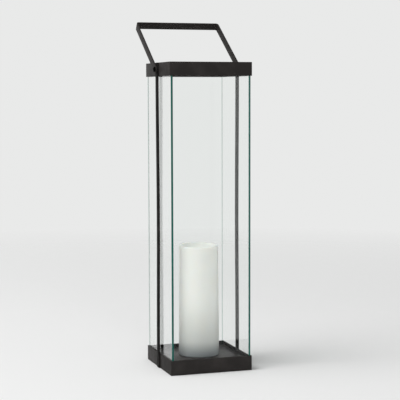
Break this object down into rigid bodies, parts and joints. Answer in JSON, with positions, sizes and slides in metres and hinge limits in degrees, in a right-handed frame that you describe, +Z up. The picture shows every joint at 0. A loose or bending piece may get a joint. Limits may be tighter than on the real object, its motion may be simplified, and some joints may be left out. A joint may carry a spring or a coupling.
{
  "type": "candle lantern",
  "caption": "Tall square glass hurricane lantern with a tray base, an open top band, side straps, a swinging strip handle and a pillar candle inside.",
  "frame": {"origin": "on the table, under the middle of the square base", "axes": "+X to the right along the front, +Y to the back, +Z up"},
  "size_m": [0.1678, 0.207, 0.6325],
  "materials": {
    "black_paint": "satin black powder coat on mild steel",
    "black_screw": "black coated steel screw",
    "zinc": "zinc plated steel",
    "nylon": "black nylon",
    "felt": "pressed black felt",
    "clear_glass": "clear float glass with ground green edges",
    "wax": "ivory paraffin wax",
    "wick": "burnt cotton wick"
  },
  "bodies": {
    "frame": {"base_ring": "black_paint", "tray_floor": "black_paint", "base_plate": "black_paint", "base_pad": "felt", "top_band": "black_paint", "glass_retainer": "black_paint", "left_glass": "clear_glass", "right_glass": "clear_glass", "front_glass": "clear_glass", "back_glass": "clear_glass", "left_strap": "black_paint", "left_pivot_screw": "black_screw", "left_friction_washer": "nylon", "left_nut_washer": "zinc", "left_pivot_nut": "zinc", "right_strap": "black_paint", "right_pivot_screw": "black_screw", "right_friction_washer": "nylon", "right_nut_washer": "zinc", "right_pivot_nut": "zinc"},
    "handle": {"handle": "black_paint"},
    "candle": {"candle_wax": "wax", "candle_wick": "wick"}
  },
  "joints": [
    {"name": "handle_swing", "type": "hinge", "parent": "frame", "child": "handle", "pos_m": [0, 0, 0.5416], "axis": [1, 0, 0], "range_deg": [-90.8, 203.1]},
    {"name": "candle_lift", "type": "slide", "parent": "frame", "child": "candle", "axis": [0, 0, 1], "range_m": [0, 0.62]}
  ]
}
